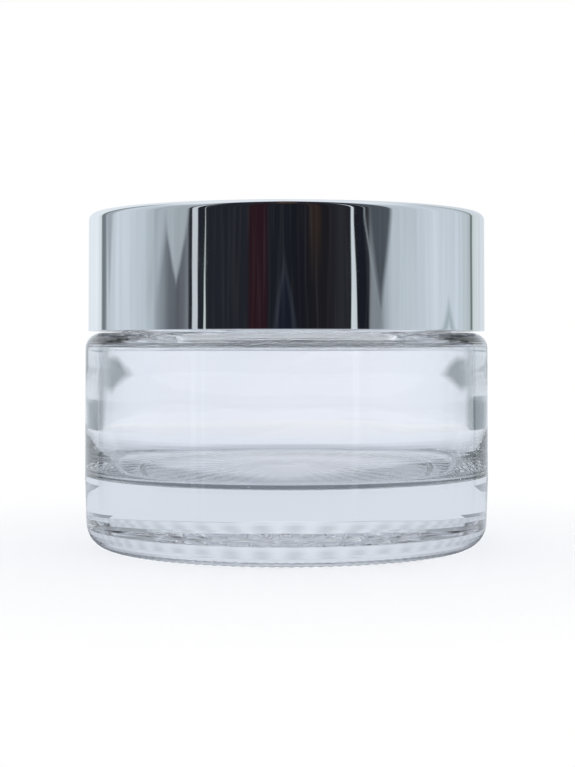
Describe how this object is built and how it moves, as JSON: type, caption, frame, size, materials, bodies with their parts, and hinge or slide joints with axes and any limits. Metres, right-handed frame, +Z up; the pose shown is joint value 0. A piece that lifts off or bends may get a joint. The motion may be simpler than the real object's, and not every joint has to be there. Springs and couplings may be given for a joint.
{
  "type": "cosmetic cream jar",
  "caption": "Round heavy-base glass cream jar with a screw-on metallised two-piece cap, a liner and a lift-out sealing disc.",
  "frame": {"origin": "centre of the base, on the surface that the jar stands on", "axes": "+Z up along the axis of the jar, the neck and the cap; -Y faces the viewer"},
  "size_m": [0.06, 0.06, 0.0494],
  "materials": {
    "clear_glass": "polished clear glass",
    "disc_plastic": "soft white polyethylene",
    "liner_foam": "white foam with a smooth face",
    "inner_plastic": "white moulded polypropylene",
    "shell_chrome": "mirror metallised plastic"
  },
  "bodies": {
    "jar": {"glass_jar": "clear_glass"},
    "disc": {"sealing_disc": "disc_plastic"},
    "liner": {"cap_liner": "liner_foam"},
    "cap": {"cap_inner": "inner_plastic", "cap_shell": "shell_chrome"}
  },
  "joints": [
    {"name": "cap_rise", "type": "slide", "parent": "jar", "child": "liner", "axis": [0, 0, 1], "range_m": [0, 0.0316]},
    {"name": "cap_turn", "type": "hinge", "parent": "liner", "child": "cap", "pos_m": [0, 0, 0.045], "axis": [0, 0, 1], "range_deg": [0, 2700]},
    {"name": "disc_lift", "type": "slide", "parent": "jar", "child": "disc", "axis": [0, 0, 1], "range_m": [0, 0.0142]}
  ],
  "couplings": [
    {"joint": "cap_rise", "follows": "cap_turn", "m_per_rad": 0.00066845},
    {"joint": "disc_lift", "follows": "cap_turn", "m_per_rad": 0.0003008}
  ]
}
